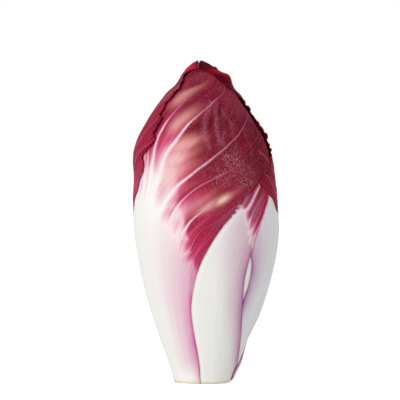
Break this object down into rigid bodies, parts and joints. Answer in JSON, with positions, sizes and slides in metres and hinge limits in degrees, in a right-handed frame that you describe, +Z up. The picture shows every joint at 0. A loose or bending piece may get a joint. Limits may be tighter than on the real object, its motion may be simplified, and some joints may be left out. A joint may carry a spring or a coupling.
{
  "type": "belgian endive head",
  "caption": "Closed bud of red Belgian endive: white-ribbed leaves with crimson blades wrapped round a short stem core, standing on its flat cut base.",
  "frame": {"origin": "centre of the flat cut base, on the head's own axis", "axes": "+Z up from the cut base to the leaf tips; -Y is the front, where the rib of the front left leaf and its free margin show; +X is to the right seen from the front"},
  "size_m": [0.0616, 0.0615, 0.1344],
  "materials": {
    "outer_leaf_tissue": "waxy satin, white rib running into a crimson blade",
    "inner_leaf_tissue": "waxy satin, white with a pink to red tip",
    "cut_stem_tissue": "moist cut, faintly browned at the rim"
  },
  "bodies": {
    "root": {"outer_leaf_back_left": "outer_leaf_tissue", "outer_leaf_front_left": "outer_leaf_tissue", "outer_leaf_back_right": "outer_leaf_tissue", "outer_leaf_front_right": "outer_leaf_tissue", "outer_leaf_right": "outer_leaf_tissue", "inner_leaf_01": "inner_leaf_tissue", "inner_leaf_02": "inner_leaf_tissue", "inner_leaf_03": "inner_leaf_tissue", "inner_leaf_04": "inner_leaf_tissue", "inner_leaf_05": "inner_leaf_tissue", "inner_leaf_06": "inner_leaf_tissue", "inner_leaf_07": "inner_leaf_tissue", "inner_leaf_08": "inner_leaf_tissue", "inner_leaf_09": "inner_leaf_tissue", "inner_leaf_10": "inner_leaf_tissue", "inner_leaf_11": "inner_leaf_tissue", "inner_leaf_12": "inner_leaf_tissue", "inner_leaf_13": "inner_leaf_tissue", "inner_leaf_14": "inner_leaf_tissue", "stem_core": "cut_stem_tissue"}
  },
  "joints": []
}
